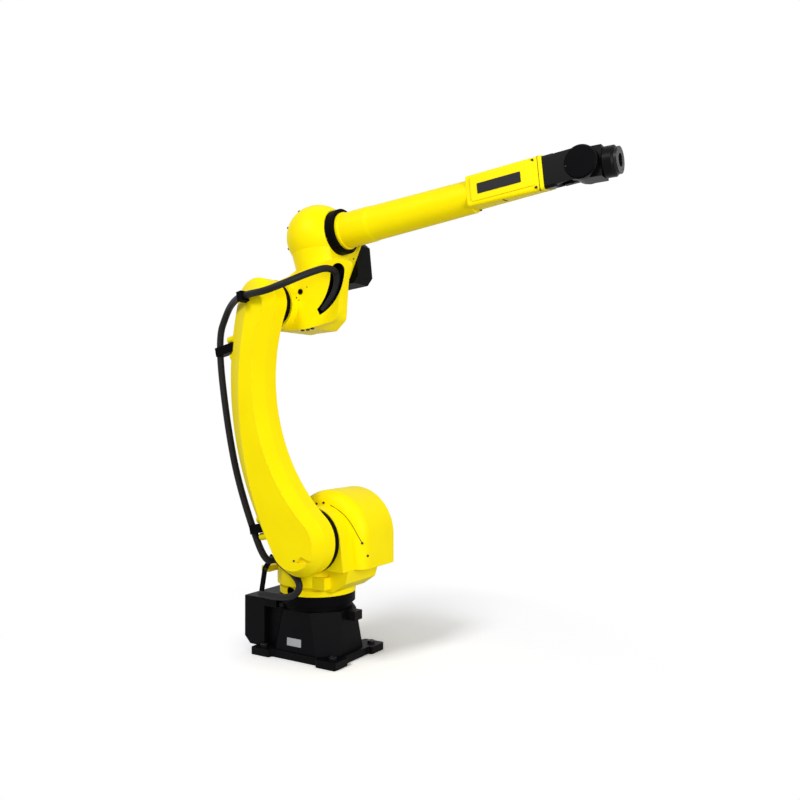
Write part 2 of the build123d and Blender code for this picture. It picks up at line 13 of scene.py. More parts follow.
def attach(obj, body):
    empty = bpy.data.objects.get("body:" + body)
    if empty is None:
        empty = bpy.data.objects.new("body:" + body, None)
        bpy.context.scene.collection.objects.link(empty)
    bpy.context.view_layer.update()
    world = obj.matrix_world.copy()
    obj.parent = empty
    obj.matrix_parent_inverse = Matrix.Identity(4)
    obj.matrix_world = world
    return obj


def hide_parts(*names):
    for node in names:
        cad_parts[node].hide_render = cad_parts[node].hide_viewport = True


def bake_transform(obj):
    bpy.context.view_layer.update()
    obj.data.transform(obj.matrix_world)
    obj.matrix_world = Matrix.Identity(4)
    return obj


bl_info = {
    "name": "Six-axis arm",
    "version": (1, 0, 0),
    "blender": (4, 5, 0),
    "location": "View3D > Sidebar > Arm",
    "description": "Finishes, hose, screws, plates, linings and seams of a jointed arm in a plain studio",
    "category": "Object",
}

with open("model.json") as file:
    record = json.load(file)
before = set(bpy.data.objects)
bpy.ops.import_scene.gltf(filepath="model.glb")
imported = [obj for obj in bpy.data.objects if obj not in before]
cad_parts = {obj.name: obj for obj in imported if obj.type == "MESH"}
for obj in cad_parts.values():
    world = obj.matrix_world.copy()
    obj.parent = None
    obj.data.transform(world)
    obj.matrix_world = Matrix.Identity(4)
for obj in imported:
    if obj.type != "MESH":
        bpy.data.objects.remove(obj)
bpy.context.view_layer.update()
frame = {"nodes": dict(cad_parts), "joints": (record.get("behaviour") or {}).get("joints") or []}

MM = 0.001
OUT = Vector((0.0, -1.0, 0.0))
UP = Vector((0.0, 0.0, 1.0))
LEVEL = Vector((1.0, 0.0, 0.0))
JOINTS = {joint["name"]: joint for joint in frame["joints"]}


def side_frame(origin, ahead):
    """Side view axes at a point: x ahead, y up, z out towards the side that carries the lower arm."""
    axes = Matrix((ahead, OUT.cross(ahead), OUT)).transposed().to_4x4()
    axes.translation = origin
    return axes


SHOULDER = Vector(JOINTS["shoulder"]["pos_m"])
ELBOW = Vector(JOINTS["elbow"]["pos_m"])
WRIST = Vector(JOINTS["wrist_bend"]["pos_m"])
FORE_AHEAD = Vector(JOINTS["forearm_roll"]["axis"])
FORE_UP = OUT.cross(FORE_AHEAD)
FLOOR_SIDE = side_frame(Vector((0.0, 0.0, 0.0)), LEVEL)
TURRET_SIDE = side_frame(SHOULDER, LEVEL)
ARM_SIDE = side_frame(SHOULDER, (ELBOW - SHOULDER).normalized().cross(OUT))
ELBOW_SIDE = side_frame(ELBOW, FORE_AHEAD)
FORE_SIDE = side_frame(Vector(JOINTS["forearm_roll"]["pos_m"]), FORE_AHEAD)
WRIST_SIDE = side_frame(WRIST, FORE_AHEAD)


def place(side, ahead, up, out):
    """A point given in millimetres on a side view, as metres in the shared frame."""
    return side @ (Vector((ahead, up, out)) * MM)


def linear(hex_colour):
    """sRGB hex to the linear colour that shaders take."""
    parts = [int(hex_colour[start:start + 2], 16) / 255 for start in (1, 3, 5)]
    return [part / 12.92 if part <= 0.04045 else ((part + 0.055) / 1.055) ** 2.4 for part in parts] + [1.0]


class ArmSizes(bpy.types.PropertyGroup):
    """Sizes of what the dressing adds to the castings."""

    hose_radius: bpy.props.FloatProperty(
        name="Hose radius", description="Outer radius of the rubber hose", default=0.012, unit="LENGTH")
    foot_bolt: bpy.props.FloatProperty(
        name="Foot bolt", description="Head radius of the bolts that hold the foot down",
        default=0.0135, unit="LENGTH")
    cover_screw: bpy.props.FloatProperty(
        name="Cover screw", description="Head radius of the screws of covers and hood",
        default=0.0042, unit="LENGTH")
    seat_bolt: bpy.props.FloatProperty(
        name="Seat bolt", description="Head radius of the bolts on the hose seats",
        default=0.0075, unit="LENGTH")
    plate_thickness: bpy.props.FloatProperty(
        name="Plate thickness", description="Thickness of the bare plates", default=0.0012, unit="LENGTH")
    seam_radius: bpy.props.FloatProperty(
        name="Seam", description="Radius of the sealing bead along the hood", default=0.0011, unit="LENGTH")


class ArmColours(bpy.types.PropertyGroup):
    """Colours of the finishes, as sRGB hex."""

    yellow: bpy.props.StringProperty(name="Yellow", description="Enamel on the castings", default="#FFEA00")
    base: bpy.props.StringProperty(name="Base", description="Paint on the base", default="#09080A")
    ring: bpy.props.StringProperty(name="Rings", description="Covers at the joints", default="#080709")
    hose: bpy.props.StringProperty(name="Hose", description="Rubber of the hose", default="#1D1C1E")
    motor: bpy.props.StringProperty(name="Motor", description="Powder coat on the motor", default="#0E100D")
    wrist: bpy.props.StringProperty(name="Wrist", description="Satin paint on the wrist", default="#0A090B")
    plate: bpy.props.StringProperty(name="Plate", description="Anodised bare plate", default="#9A9B9E")


class StageSettings(bpy.types.PropertyGroup):
    """Studio light."""

    world_strength: bpy.props.FloatProperty(
        name="Room light", description="Strength of the even light from all round", default=0.40, min=0.0)
    key_power: bpy.props.FloatProperty(
        name="Key light", description="Power of the large lamp overhead",
        default=68.0, unit="POWER", min=0.0)
    front_power: bpy.props.FloatProperty(
        name="Front light", description="Power of the lamp beside the camera",
        default=112.0, unit="POWER", min=0.0)


# Colour sockets of a Mix node, which share their names with its other sockets
FIRST_COLOUR = 6
SECOND_COLOUR = 7
MIXED_COLOUR = 2
WHITE = (1.0, 1.0, 1.0, 1.0)


def add(tree, kind, inputs=None, **settings):
    """Adds one node: an input that is a socket is linked, any other value is set on the socket."""
    node = tree.nodes.new(kind)
    for name, value in settings.items():
        setattr(node, name, value)
    for key, value in (inputs or {}).items():
        if isinstance(value, bpy.types.NodeSocket):
            tree.links.new(value, node.inputs[key])
        else:
            node.inputs[key].default_value = value
    return node


def per_metre(size_mm):
    """Texture scale whose pattern repeats at a size in millimetres."""
    return 1000.0 / size_mm


# Size of the patches of slightly different paint, in millimetres, and how much of the edge colour wear shows
PATCH_MM = 120
EDGE_WEAR = 0.45


def painted_surface(
        name, colour, mottle, edge, roughness, grain_mm, grain_depth_mm,
        edge_mm=1.6, gloss=0.15, metallic=0.0):
    """A painted or coated surface: grain in the relief, mottled gloss and colour, and worn edges."""
    material = bpy.data.materials.new(name)
    material.use_nodes = True
    tree = material.node_tree
    tree.nodes.clear()
    where = add(tree, "ShaderNodeTexCoord").outputs["Object"]
    cloud = add(tree, "ShaderNodeTexNoise", {"Vector": where, "Scale": per_metre(PATCH_MM), "Detail": 5.0})
    grain = add(tree, "ShaderNodeTexNoise", {"Vector": where, "Scale": per_metre(grain_mm), "Detail": 3.0})
    corner = add(tree, "ShaderNodeBevel", {"Radius": edge_mm * MM}, samples=6)
    face = add(tree, "ShaderNodeNewGeometry").outputs["Normal"]
    facing = add(
        tree, "ShaderNodeVectorMath", {0: corner.outputs["Normal"], 1: face}, operation="DOT_PRODUCT")
    worn = add(
        tree, "ShaderNodeMapRange", {"Value": facing.outputs["Value"], "From Min": 0.97, "From Max": 0.75})
    patch = add(
        tree, "ShaderNodeMapRange", {"Value": cloud.outputs["Fac"], "From Min": 0.35, "From Max": 0.7})
    tone = add(
        tree, "ShaderNodeMix",
        {"Factor": patch.outputs["Result"], FIRST_COLOUR: linear(colour), SECOND_COLOUR: linear(mottle)},
        data_type="RGBA")
    rub = add(tree, "ShaderNodeMath", {0: worn.outputs["Result"], 1: EDGE_WEAR}, operation="MULTIPLY")
    shade = add(
        tree, "ShaderNodeMix",
        {"Factor": rub.outputs[0], FIRST_COLOUR: tone.outputs[MIXED_COLOUR], SECOND_COLOUR: linear(edge)},
        data_type="RGBA")
    sheen = add(
        tree, "ShaderNodeMapRange",
        {"Value": grain.outputs["Fac"], "From Min": 0.2, "From Max": 0.8,
         "To Min": roughness - 0.06, "To Max": roughness + 0.08})
    relief = add(
        tree, "ShaderNodeBump",
        {"Height": grain.outputs["Fac"], "Distance": grain_depth_mm * MM, "Strength": 0.6,
         "Normal": corner.outputs["Normal"]})
    surface = add(
        tree, "ShaderNodeBsdfPrincipled",
        {"Base Color": shade.outputs[MIXED_COLOUR], "Roughness": sheen.outputs["Result"],
         "Normal": relief.outputs["Normal"], "Metallic": metallic, "Specular IOR Level": gloss})
    add(tree, "ShaderNodeOutputMaterial", {"Surface": surface.outputs["BSDF"]})
    return material


def make_finishes():
    """All finishes of the arm by name. Grain is drawn coarser than the real one, so that it shows."""
    colours = bpy.context.scene.arm_colours
    finishes = [
        # Two-pack enamel sprayed on cast aluminium: a full yellow with a soft gloss and a faint orange peel
        painted_surface(
            "yellow_enamel", colours.yellow, "#FCE400", "#FFF04A",
            roughness=0.45, grain_mm=4.0, grain_depth_mm=0.1, gloss=0.07),
        # Satin black paint on cast iron: sand grain under the paint, edges rubbed a little lighter
        painted_surface(
            "black_cast_paint", colours.base, "#060507", "#2E2D32",
            roughness=0.46, grain_mm=3.0, grain_depth_mm=0.3, gloss=0.05),
        # Moulded nylon covers: even, very dark and smoother than paint
        painted_surface(
            "black_nylon", colours.ring, "#060507", "#222125",
            roughness=0.48, grain_mm=2.0, grain_depth_mm=0.06, gloss=0.025),
        # Powder coat on the motor housing: fine pimples and a dull sheen
        painted_surface(
            "powder_coat_dark", colours.motor, "#0A0C09", "#31332D",
            roughness=0.55, grain_mm=1.8, grain_depth_mm=0.2, gloss=0.035),
        # Satin paint on the machined wrist housings: smoother and glossier than the base
        painted_surface(
            "satin_black_paint", colours.wrist, "#080709", "#343338",
            roughness=0.36, grain_mm=3.0, grain_depth_mm=0.06, gloss=0.07),
        # Phosphated steel: near black with a metal glint on its edges
        painted_surface(
            "phosphated_steel", "#2C2C2E", "#232325", "#7A7A7C",
            roughness=0.38, grain_mm=1.0, grain_depth_mm=0.03, metallic=0.85),
        # Extruded rubber hose: dull, dark grey, slightly dusty
        painted_surface(
            "hose_rubber", colours.hose, "#171618", "#2E2D30",
            roughness=0.5, grain_mm=2.0, grain_depth_mm=0.05),
        # Anodised aluminium plate: smooth grey with a soft metal sheen
        painted_surface(
            "anodised_plate", colours.plate, "#A9AAAD", "#D5D6D8",
            roughness=0.35, grain_mm=0.8, grain_depth_mm=0.02, edge_mm=0.5, metallic=0.6),
        # Black film with nothing on it: flat and even
        painted_surface(
            "black_film", "#141316", "#19181B", "#2A292C",
            roughness=0.45, grain_mm=6.0, grain_depth_mm=0.02, edge_mm=0.4),
    ]
    # A name that the frame's own materials hold already gets a number, so the plain name is the key
    return {finish.name.split(".")[0]: finish for finish in finishes}


FINISHES = {}
NODE_FINISHES = {
    "yellow_enamel": [
        "turret_casting", "motor_hood", "lower_arm", "elbow_casting", "forearm", "side_cover_near",
        "side_cover_far"],
    "black_cast_paint": ["base_foot", "base_casting", "connector_box"],
    "black_nylon": [
        "waist_ring", "shoulder_ring", "elbow_ring", "forearm_ring", "hose_strip", "hose_clamp_low",
        "hose_clamp_high", "hose_clip", "elbow_plug", "wrist_cap_near", "wrist_cap_far"],
    "powder_coat_dark": ["elbow_motor"],
    "satin_black_paint": ["wrist_fork", "wrist_body"],
    "phosphated_steel": ["tool_flange"],
    "hose_rubber": ["hose_lower_loop", "hose_arm_run", "hose_elbow_loop", "hose_slot_end"],
}


def mesh_piece(name, mesh, finish):
    """Links a mesh as a piece that wears one finish."""
    mesh.name = name
    mesh.materials.clear()
    mesh.materials.append(FINISHES[finish])
    piece = bpy.data.objects.new(name, mesh)
    bpy.context.scene.collection.objects.link(piece)
    return piece


def mesh_from(build, name):
    """Turns a finished bmesh into a mesh and frees it."""
    mesh = bpy.data.meshes.new(name)
    build.to_mesh(mesh)
    build.free()
    return mesh


class ARM_OT_finishes(bpy.types.Operator):
    """Gives each casting and cover its finish"""

    bl_idname = "arm.finishes"
    bl_label = "Finishes"

    def execute(self, context):
        FINISHES.update(make_finishes())
        for finish, names in NODE_FINISHES.items():
            for name in names:
                mesh = frame["nodes"][name].data
                mesh.materials.clear()
                mesh.materials.append(FINISHES[finish])
        return {"FINISHED"}


# Route of the hose, as places on the turret, the lower arm and the elbow, in millimetres
TURRET_ROUTE = [
    (-142, -149.3, 218), (-80, -157, 222), (-8, -172, 225), (44, -172, 244), (54, -168, 280), (16, -160, 310),
    (-34, -158, 334), (-66, -152, 352)]
ARM_ROUTE = [
    (-190, 40, 195), (-230, 210, 195), (-240, 460, 195), (-218, 765, 195), (-150, 850, 198), (-75, 864, 238),
    (10, 854, 286), (80, 842, 292)]
LOOP_ROUTE = [(190, 24, 280), (240, 58, 212), (270, 86, 130)]
SLOT_ROUTE = [(269, 65.6, 91), (257.6, 30.2, 80), (229.8, -12, 79), (187.2, -45.1, 79)]
# Where the loop ends on its way to the slot, and how far the arm's run is led on, as shares of a step
MOUTH_SHARE = 0.8
LEAD_SHARE = 0.5


def smooth_line(points):
    """Points of the smooth line that a hose takes along its route."""
    curve = bpy.data.curves.new("hose_line", "CURVE")
    curve.dimensions = "3D"
    spline = curve.splines.new("NURBS")
    spline.points.add(len(points) - 1)
    for control, point in zip(spline.points, points):
        control.co = (*point, 1.0)
    spline.order_u = 3
    spline.use_endpoint_u = True
    spline.resolution_u = 16
    holder = bpy.data.objects.new("hose_line", curve)
    bpy.context.scene.collection.objects.link(holder)
    bpy.context.view_layer.update()
    line = bpy.data.meshes.new_from_object(holder.evaluated_get(bpy.context.evaluated_depsgraph_get()))
    path = [vertex.co.copy() for vertex in line.vertices]
    bpy.data.objects.remove(holder)
    bpy.data.curves.remove(curve)
    bpy.data.meshes.remove(line)
    return path


def join_rings(build, rings):
    """Faces between each ring of vertices and the next."""
    for low, high in zip(rings, rings[1:]):
        for index in range(len(low)):
            following = (index + 1) % len(low)
            build.faces.new((low[index], low[following], high[following], high[index]))


def tube_mesh(path, radius, sides=24):
    """A closed round tube along a line."""
    build = bmesh.new()
    across = (path[1] - path[0]).orthogonal().normalized()
    rings = []
    for index, centre in enumerate(path):
        before = path[max(index - 1, 0)]
        after = path[min(index + 1, len(path) - 1)]
        ahead = (after - before).normalized()
        across = (across - ahead * across.dot(ahead)).normalized()
        ring = []
        for step in range(sides):
            turn = Matrix.Rotation(math.tau * step / sides, 3, ahead) @ across
            ring.append(build.verts.new(centre + turn * radius))
        rings.append(ring)
    join_rings(build, rings)
    build.faces.new(list(reversed(rings[0])))
    build.faces.new(rings[-1])
    bmesh.ops.recalc_face_normals(build, faces=build.faces)
    for face in build.faces:
        face.smooth = len(face.verts) == 4
    return mesh_from(build, "tube")


class ARM_OT_hose(bpy.types.Operator):
    """Lays the hose from the turret along the lower arm into the elbow"""

    bl_idname = "arm.hose"
    bl_label = "Hose"

    def execute(self, context):
        radius = context.scene.arm_sizes.hose_radius
        turret = [Vector(point) * MM for point in TURRET_ROUTE]
        arm = [place(ARM_SIDE, *point) for point in ARM_ROUTE]
        loop = [place(ELBOW_SIDE, *point) for point in LOOP_ROUTE]
        slot = [place(ELBOW_SIDE, *point) for point in SLOT_ROUTE]
        mouth = loop[-1].lerp(slot[0], MOUTH_SHARE)
        lead_in = arm[0] + (arm[0] - arm[1]) * LEAD_SHARE
        lead_out = arm[-1] + (arm[-1] - arm[-2]) * LEAD_SHARE
        routes = {
            "hose_low": turret + [lead_in, arm[0]],
            "hose_run": arm,
            "hose_high": [arm[-1], lead_out] + loop + [mouth],
            "hose_end": [mouth] + slot,
        }
        low, run, high, end = [
            mesh_piece(name, tube_mesh(smooth_line(route), radius), "hose_rubber")
            for name, route in routes.items()]
        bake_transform(low)
        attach(run, "arm_link")
        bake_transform(high)
        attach(end, "elbow_link")
        nodes = ("hose_lower_loop", "hose_arm_run", "hose_elbow_loop", "hose_slot_end")
        for piece, node in zip((low, run, high, end), nodes):
            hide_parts(node)
        return {"FINISHED"}


# Shape of a socket screw, as shares of its head radius
SCREW_SIDES = 18
SCREW_VALUES = {"Head height": 0.7, "Socket width": 0.55}
SCREW_BEVEL_HEIGHT = 0.12
SCREW_TOP_WIDTH = 0.86
SCREW_RECESS = 0.4
# Share of the head's height by which its middle stands above the surface
SCREW_STAND = 0.4


def screw_tree():
    """Node tree that sets a socket screw on each point, along the point's axis and at the point's size."""
    tree = bpy.data.node_groups.new("screws_on_points", "GeometryNodeTree")
    face = tree.interface
    face.new_socket("Points", in_out="INPUT", socket_type="NodeSocketGeometry")
    face.new_socket("Head height", in_out="INPUT", socket_type="NodeSocketFloat")
    face.new_socket("Socket width", in_out="INPUT", socket_type="NodeSocketFloat")
    face.new_socket("Finish", in_out="INPUT", socket_type="NodeSocketMaterial")
    face.new_socket("Screws", in_out="OUTPUT", socket_type="NodeSocketGeometry")
    given = add(tree, "NodeGroupInput").outputs
    head = add(
        tree, "GeometryNodeMeshCylinder",
        {"Vertices": SCREW_SIDES, "Radius": 1.0, "Depth": given["Head height"]})
    rim = add(
        tree, "GeometryNodeExtrudeMesh",
        {"Mesh": head.outputs["Mesh"], "Selection": head.outputs["Top"], "Offset Scale": SCREW_BEVEL_HEIGHT})
    bevel = add(
        tree, "GeometryNodeScaleElements",
        {"Geometry": rim.outputs["Mesh"], "Selection": rim.outputs["Top"], "Scale": SCREW_TOP_WIDTH})
    inset = add(
        tree, "GeometryNodeExtrudeMesh",
        {"Mesh": bevel.outputs["Geometry"], "Selection": rim.outputs["Top"], "Offset Scale": 0.0})
    narrow = add(
        tree, "GeometryNodeScaleElements",
        {"Geometry": inset.outputs["Mesh"], "Selection": inset.outputs["Top"],
         "Scale": given["Socket width"]})
    recess = add(
        tree, "GeometryNodeExtrudeMesh",
        {"Mesh": narrow.outputs["Geometry"], "Selection": inset.outputs["Top"],
         "Offset Scale": -SCREW_RECESS})
    stand = add(tree, "ShaderNodeMath", {0: given["Head height"], 1: SCREW_STAND}, operation="MULTIPLY")
    rise = add(tree, "ShaderNodeCombineXYZ", {"Z": stand.outputs[0]})
    lift = add(
        tree, "GeometryNodeTransform",
        {"Geometry": recess.outputs["Mesh"], "Translation": rise.outputs["Vector"]})
    axis = add(tree, "GeometryNodeInputNamedAttribute", {"Name": "axis"}, data_type="FLOAT_VECTOR")
    size = add(tree, "GeometryNodeInputNamedAttribute", {"Name": "size"}, data_type="FLOAT")
    turn = add(
        tree, "FunctionNodeAlignRotationToVector", {"Vector": axis.outputs["Attribute"]}, axis="Z")
    spread = add(
        tree, "GeometryNodeInstanceOnPoints",
        {"Points": given["Points"], "Instance": lift.outputs["Geometry"],
         "Rotation": turn.outputs["Rotation"], "Scale": size.outputs["Attribute"]})
    real = add(tree, "GeometryNodeRealizeInstances", {"Geometry": spread.outputs["Instances"]})
    wear = add(
        tree, "GeometryNodeSetMaterial", {"Geometry": real.outputs["Geometry"], "Material": given["Finish"]})
    add(tree, "NodeGroupOutput", {"Screws": wear.outputs["Geometry"]})
    return tree


def set_screws(tree, name, body, screws):
    """Makes one body's screws from their places, axes and head radii."""
    points = bpy.data.meshes.new(name + "_points")
    points.from_pydata([spot for spot, axis, size in screws], [], [])
    points.attributes.new("axis", "FLOAT_VECTOR", "POINT")
    points.attributes.new("size", "FLOAT", "POINT")
    for index, (spot, axis, size) in enumerate(screws):
        points.attributes["axis"].data[index].vector = axis
        points.attributes["size"].data[index].value = size
    holder = bpy.data.objects.new(name + "_points", points)
    bpy.context.scene.collection.objects.link(holder)
    modifier = holder.modifiers.new("screws", "NODES")
    modifier.node_group = tree
    values = {**SCREW_VALUES, "Finish": FINISHES["phosphated_steel"]}
    for item in tree.interface.items_tree:
        if item.in_out == "INPUT" and item.name in values:
            modifier[item.identifier] = values[item.name]
    bpy.context.view_layer.update()
    mesh = bpy.data.meshes.new_from_object(holder.evaluated_get(bpy.context.evaluated_depsgraph_get()))
    holder.modifiers.remove(modifier)
    bpy.data.objects.remove(holder)
    bpy.data.meshes.remove(points)
    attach(mesh_piece(name, mesh, "phosphated_steel"), body)


# Near side of the motor hood: its face, the radius of the face's flat and of the rounded edge round it
HOOD_FACE = 60
HOOD_FLAT = 122
HOOD_ROUND = 42
# How far short of the rounded edge's end a place on it stays
HOOD_END = 0.1


def on_hood(ahead, up):
    """Place and outward direction on the rounded near edge of the motor hood."""
    spoke = Vector((ahead, max(up, 0.0)))
    past = min(max(spoke.length - HOOD_FLAT, 0.0), HOOD_ROUND - HOOD_END)
    rise = (HOOD_ROUND ** 2 - past ** 2) ** 0.5
    spoke.normalize()
    axis = TURRET_SIDE.to_3x3() @ Vector((spoke.x * past, spoke.y * past, rise))
    return place(TURRET_SIDE, ahead, up, HOOD_FACE - HOOD_ROUND + rise), axis.normalized()


# Places of the screws in millimetres. Bolts of the foot, on its plan
FOOT_BOLTS = [(ahead, across) for ahead in (-152, 152) for across in (-116.5, 116.5)]
FOOT_TOP = 26
# Screws on the hood's face, by angle on a circle, and on its rounded edge, and one on the turret's rear lug
HOOD_CIRCLE = 121
HOOD_ANGLES = (150, 107, 92)
HOOD_EDGE_SCREWS = ((151.4, -8.5), (162, -53))
LUG_SCREW = (-126, 306, 137)
LUG_SCREW_SCALE = 1.3
# Bolts on the lower arm's hose seats, and a small one near its lower end
SEAT_BOLTS = ((-166, 44, 195), (-166, 104, 195), (-164, 688, 195), (-164, 748, 195))
ARM_SCREW = (20, -52, 265)
ARM_SCREW_SCALE = 0.8
# Elbow: bolts underneath, marks on the face, and pins with the directions that they point in
ELBOW_FACE = 90
ELBOW_BOLTS = ((90, -99, 78), (113, -100.8, 78), (134, -99.7, 78))
ELBOW_BOLT_SCALE = 0.9
ELBOW_MARKS = ((94.1, 5.6, ELBOW_FACE), (134.3, 44.8, ELBOW_FACE))
ELBOW_MARK_SCALE = 0.5
ELBOW_PINS = (((88.9, 13.9, 97), (0.98, 0.19, 0.0)), ((210.4, 161.4, -102.2), (0.86, -0.51, 0.0)))
PIN_SCALE = 0.7
# Dome behind the forearm: its centre along the forearm, its radius and the directions of its screws
DOME_CENTRE = (140, 0, 0)
DOME_RADIUS = 118
DOME_SCREWS = ((-0.31, 0.805, 0.507), (-0.69, 0.355, 0.63), (-0.817, -0.251, 0.519))
# Forearm's head: screws on both sides and one underneath, and pins on the wrist's caps
NEAR_HEAD_SCREWS = ((996, 43, 54), (1000, -42, 54))
FAR_HEAD_SCREWS = ((996, 43, -54), (1000, -16, -54))
UNDER_HEAD_SCREW = (782, -46, -10)
NEAR_CAP_PIN = (-42, -4, 57)
FAR_CAP_PIN = (-32, -4, -57)


class ARM_OT_screws(bpy.types.Operator):
    """Sets the bolts and screws that show"""

    bl_idname = "arm.screws"
    bl_label = "Screws"

    def execute(self, context):
        sizes = context.scene.arm_sizes
        screw = sizes.cover_screw
        tree = screw_tree()
        foot = [(Vector((*spot, FOOT_TOP)) * MM, UP, sizes.foot_bolt) for spot in FOOT_BOLTS]
        set_screws(tree, "foot_bolts", "fixed_base", foot)

        hood = []
        for angle in HOOD_ANGLES:
            spoke = Matrix.Rotation(math.radians(angle), 2) @ Vector((HOOD_CIRCLE, 0.0))
            hood.append((place(TURRET_SIDE, *spoke, HOOD_FACE), OUT, screw))
        hood += [(*on_hood(*spot), screw) for spot in HOOD_EDGE_SCREWS]
        hood.append((place(FLOOR_SIDE, *LUG_SCREW), OUT, screw * LUG_SCREW_SCALE))
        set_screws(tree, "turret_screws", "turret", hood)

        rear = -(ARM_SIDE.to_3x3() @ LEVEL)
        seats = [(place(ARM_SIDE, *spot), rear, sizes.seat_bolt) for spot in SEAT_BOLTS]
        seats.append((place(ARM_SIDE, *ARM_SCREW), OUT, screw * ARM_SCREW_SCALE))
        set_screws(tree, "arm_screws", "arm_link", seats)

        bolt = sizes.seat_bolt * ELBOW_BOLT_SCALE
        elbow = [(place(ELBOW_SIDE, *spot), -FORE_UP, bolt) for spot in ELBOW_BOLTS]
        elbow += [(place(ELBOW_SIDE, *spot), OUT, screw * ELBOW_MARK_SCALE) for spot in ELBOW_MARKS]
        for spot, lean in ELBOW_PINS:
            elbow.append((place(ELBOW_SIDE, *spot), ELBOW_SIDE.to_3x3() @ Vector(lean), screw * PIN_SCALE))
        for lean in DOME_SCREWS:
            axis = FORE_SIDE.to_3x3() @ Vector(lean).normalized()
            elbow.append((place(FORE_SIDE, *DOME_CENTRE) + axis * DOME_RADIUS * MM, axis, screw))
        set_screws(tree, "elbow_screws", "elbow_link", elbow)

        fore = [(place(FORE_SIDE, *spot), OUT, screw) for spot in NEAR_HEAD_SCREWS]
        fore += [(place(FORE_SIDE, *spot), -OUT, screw) for spot in FAR_HEAD_SCREWS]
        fore.append((place(FORE_SIDE, *UNDER_HEAD_SCREW), -FORE_UP, screw))
        fore.append((place(WRIST_SIDE, *NEAR_CAP_PIN), OUT, screw * PIN_SCALE))
        fore.append((place(WRIST_SIDE, *FAR_CAP_PIN), -OUT, screw * PIN_SCALE))
        set_screws(tree, "forearm_screws", "forearm_link", fore)
        return {"FINISHED"}


def plate_from(side, outline, thickness, corner):
    """A flat plate of a given outline in millimetres, with round corners."""
    build = bmesh.new()
    build.faces.new([build.verts.new((x * MM, y * MM, 0.0)) for x, y in outline])
    bmesh.ops.bevel(
        build, geom=build.verts[:], offset=corner * MM, offset_type="OFFSET", segments=5, profile=0.5,
        affect="VERTICES")
    raised = bmesh.ops.extrude_face_region(build, geom=build.faces[:])
    top = [item for item in raised["geom"] if isinstance(item, bmesh.types.BMVert)]
    bmesh.ops.translate(build, vec=(0.0, 0.0, thickness), verts=top)
    bmesh.ops.recalc_face_normals(build, faces=build.faces)
    bmesh.ops.transform(build, matrix=side, verts=build.verts)
    return mesh_from(build, "plate")


def plate_mesh(side, size, thickness, corner):
    """A flat plate with round corners, centred on a side frame's origin, its size in millimetres."""
    across, up = size[0] / 2, size[1] / 2
    return plate_from(side, [(-across, -up), (across, -up), (across, up), (-across, up)], thickness, corner)


# Plates in millimetres: size and corner, and where each one sits
LABEL_SIZE = (147, 33)
LABEL_CORNER = 3
LABEL_AHEAD = 881
LABEL_OUT = 57
# Side of the forearm that each label is on, and its height there
LABELS = {"label_near": (1, 2), "label_far": (-1, 12)}
# A dark strip of painted shade under the forearm's head: its size, corner and place
UNDER_SHADE_SIZE = (34, 4)
UNDER_SHADE_CORNER = 1.8
UNDER_SHADE_PLACE = (886, -47.9, 30)
# Rise of the head's underside from the near to the far side, as a fall for a width
UNDERSIDE_WIDTH = 40
UNDERSIDE_FALL = 4
BASE_PLATE_SIZE = (62, 27)
BASE_PLATE_CORNER = 2
BASE_PLATE_PLACE = (-7, 62, 126.5)
BASE_WALL_LEAN = 0.0416


class ARM_OT_plates(bpy.types.Operator):
    """Puts the bare plates on the forearm and the base, and a dark strip of painted shade under the forearm's
    head
    """

    bl_idname = "arm.plates"
    bl_label = "Plates"

    def execute(self, context):
        thickness = context.scene.arm_sizes.plate_thickness
        for name, (side, up) in LABELS.items():
            axes = Matrix((FORE_AHEAD * side, FORE_UP, OUT * side)).transposed().to_4x4()
            axes.translation = place(FORE_SIDE, LABEL_AHEAD, up, LABEL_OUT * side)
            label = mesh_piece(name, plate_mesh(axes, LABEL_SIZE, thickness, LABEL_CORNER), "black_film")
            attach(label, "forearm_link")
        # Painted shade: a dark strip on the underside of the forearm's head
        across = (OUT * UNDERSIDE_WIDTH - FORE_UP * UNDERSIDE_FALL).normalized()
        below = (-FORE_UP * UNDERSIDE_WIDTH - OUT * UNDERSIDE_FALL).normalized()
        under = Matrix((across, below.cross(across), below)).transposed().to_4x4()
        under.translation = place(FORE_SIDE, *UNDER_SHADE_PLACE)
        shade_strip = mesh_piece("under_head_shade", plate_mesh(under, UNDER_SHADE_SIZE, thickness, UNDER_SHADE_CORNER), "black_nylon")
        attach(shade_strip, "forearm_link")
        spot = Matrix.Translation(Vector(BASE_PLATE_PLACE) * MM)
        lean = FLOOR_SIDE @ spot @ Matrix.Rotation(-BASE_WALL_LEAN, 4, "X")
        bare = plate_mesh(lean, BASE_PLATE_SIZE, thickness, BASE_PLATE_CORNER)
        base = mesh_piece("base_plate", bare, "anodised_plate")
        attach(base, "fixed_base")
        return {"FINISHED"}


# Middle line of the elbow's slot on its side view, and the slot's widths along it, in millimetres
SLOT_MIDDLE = ((271, 79), (239, -1), (175, -51))
SLOT_WIDTHS = (60, 48, 24)
SLOT_CROWN = 24
SLOT_STEPS = 14
CROWN_STEPS = 10
# Dark trays of painted shade in the slot and the port: gap to the pocket's wall, wall and floor of the tray,
# and how far out each floor and rim lie
TRAY_GAP = 0.2
TRAY_WALL = 1.2
TRAY_FLOOR = 0.5
SLOT_SHADE_TRAY = (68.1, 90.4)
PORT_MIDDLE = (-16, 239)
PORT_RADIUS = 18
PORT_SIDES = 32
PORT_SHADE_TRAY = (90.2, 131)


def arc_centre(first, middle, last):
    """Centre of the circle through three points of a side view."""
    first = Vector(first)
    one = Vector(middle) - first
    two = Vector(last) - first
    twist = 2 * (one.x * two.y - one.y * two.x)
    across = Vector((two.y * one.length_squared - one.y * two.length_squared,
                     one.x * two.length_squared - two.x * one.length_squared))
    return first + across / twist


